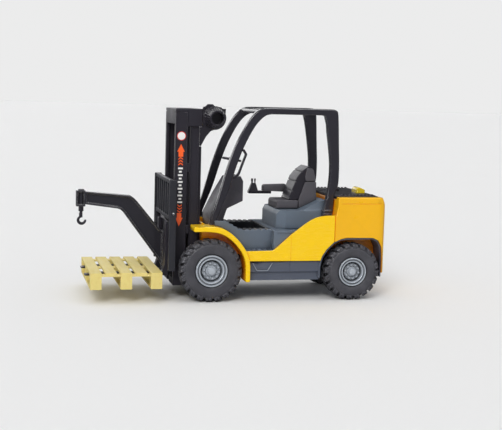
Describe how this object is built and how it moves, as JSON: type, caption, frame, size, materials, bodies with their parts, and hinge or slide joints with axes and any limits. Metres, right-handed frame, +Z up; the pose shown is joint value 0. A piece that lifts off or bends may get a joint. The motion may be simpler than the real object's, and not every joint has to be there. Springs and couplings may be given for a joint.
{
  "type": "toy forklift",
  "caption": "Toy forklift truck with a hand-wound lifting mast, forks, clip-on crane jib with hook, pallet, turning wheels, steering wheel and a push button on the rear deck.",
  "frame": {"origin": "on the ground under the middle of the whole object, halfway between the jib's tip and the counterweight's rear face", "axes": "+X forward towards the forks, +Y to the driver's left, +Z up"},
  "size_m": [0.272, 0.1, 0.1709],
  "materials": {
    "yellow_body": "glossy moulded plastic",
    "yellow_weight": "satin moulded plastic",
    "black_gloss": "glossy moulded plastic",
    "black_satin": "satin moulded plastic",
    "dark_grey": "fine textured plastic",
    "slate_grey": "satin moulded plastic",
    "console_grey": "satin moulded plastic",
    "tyre_rubber": "matt rubber",
    "rim_silver": "silver-grey plastic",
    "steel": "drawn steel",
    "brass": "stamped brass",
    "board_green": "laminate",
    "lamp_red": "clear red plastic",
    "button_yellow": "glossy plastic",
    "cord": "twisted cord",
    "pallet_tan": "moulded plastic, wood coloured",
    "seat_grey": "fine textured plastic"
  },
  "bodies": {
    "chassis": {"chassis_base": "slate_grey", "battery_cover": "slate_grey", "battery_cover_screw": "steel", "battery_cells": "steel", "battery_contacts": "brass", "body_shell": "yellow_body", "counterweight": "yellow_weight", "fender_left": "yellow_body", "fender_right": "yellow_body", "front_cowl": "yellow_body", "cab_tub": "console_grey", "seat_pedestal": "console_grey", "seat_cushion": "seat_grey", "seat_back": "seat_grey", "seat_back_pad": "black_satin", "seat_headrest": "seat_grey", "armrest": "seat_grey", "lever_cluster": "black_satin", "dashboard": "dark_grey", "steering_column": "black_satin", "overhead_guard": "black_gloss", "grab_handle": "black_gloss", "deck_panel": "dark_grey", "deck_cap": "black_satin", "button_spring": "steel", "circuit_board": "board_green", "speaker": "black_satin", "led_lamps": "lamp_red", "body_screws": "steel", "mast_rail_left": "black_satin", "mast_rail_right": "black_satin", "mast_head": "black_satin", "mast_braces": "black_satin", "mast_foot": "black_satin", "rear_upright_left": "black_satin", "rear_upright_right": "black_satin", "winch_bracket": "black_gloss", "cord_top_run": "cord", "lift_cord": "cord", "pulley_pin": "steel"},
    "front_wheels": {"front_axle": "steel", "front_rims": "rim_silver", "front_tyres": "tyre_rubber"},
    "rear_wheels": {"rear_axle": "steel", "rear_rims": "rim_silver", "rear_tyres": "tyre_rubber"},
    "steering": {"steering_wheel": "black_satin"},
    "button": {"sound_button": "button_yellow"},
    "winch": {"winch_shaft": "steel", "winch_knob": "black_gloss"},
    "pulley": {"head_pulley": "black_satin"},
    "carriage": {"fork_carriage": "black_satin", "load_backrest": "black_satin", "fork_left": "black_satin", "fork_right": "black_satin"},
    "jib": {"jib": "black_gloss"},
    "hook": {"hook": "black_satin", "hook_nut": "black_satin"},
    "pallet": {"pallet": "pallet_tan"}
  },
  "joints": [
    {"name": "front_axle_spin", "type": "hinge", "parent": "chassis", "child": "front_wheels", "pos_m": [0.023, 0, 0.0275], "axis": [0, 1, 0], "continuous": true},
    {"name": "rear_axle_spin", "type": "hinge", "parent": "chassis", "child": "rear_wheels", "pos_m": [-0.105, 0, 0.0255], "axis": [0, 1, 0], "continuous": true},
    {"name": "steering_wheel_turn", "type": "hinge", "parent": "chassis", "child": "steering", "pos_m": [-0.00262, 0, 0.12167], "axis": [-0.1564, 0, 0.9877], "continuous": true},
    {"name": "button_press", "type": "slide", "parent": "chassis", "child": "button", "axis": [0, 0, -1], "range_m": [0, 0.002], "stiffness_N_per_m": 300, "springref_m": -0.0005, "deforming": ["button_spring"]},
    {"name": "carriage_lift", "type": "slide", "parent": "chassis", "child": "carriage", "axis": [0, 0, 1], "range_m": [-0.012, 0.085], "deforming": ["lift_cord"]},
    {"name": "winch_turn", "type": "hinge", "parent": "chassis", "child": "winch", "pos_m": [0.02, 0, 0.159], "axis": [0, -1, 0], "range_deg": [-176.1, 1234.9]},
    {"name": "pulley_turn", "type": "hinge", "parent": "chassis", "child": "pulley", "pos_m": [0.045, 0, 0.1575], "axis": [0, -1, 0], "range_deg": [-156.2, 1094]},
    {"name": "jib_unhook", "type": "slide", "parent": "carriage", "child": "jib", "axis": [0, 0, 1], "range_m": [0, 0.012]},
    {"name": "hook_swivel", "type": "hinge", "parent": "jib", "child": "hook", "pos_m": [0.1316, 0, 0.079], "axis": [0, 0, 1], "continuous": true},
    {"name": "pallet_draw_off", "type": "slide", "parent": "carriage", "child": "pallet", "axis": [1, 0, 0], "range_m": [0, 0.075]}
  ],
  "couplings": [
    {"joint": "winch_turn", "follows": "carriage_lift", "rad_per_m": 253.16},
    {"joint": "pulley_turn", "follows": "carriage_lift", "rad_per_m": 224.22}
  ]
}
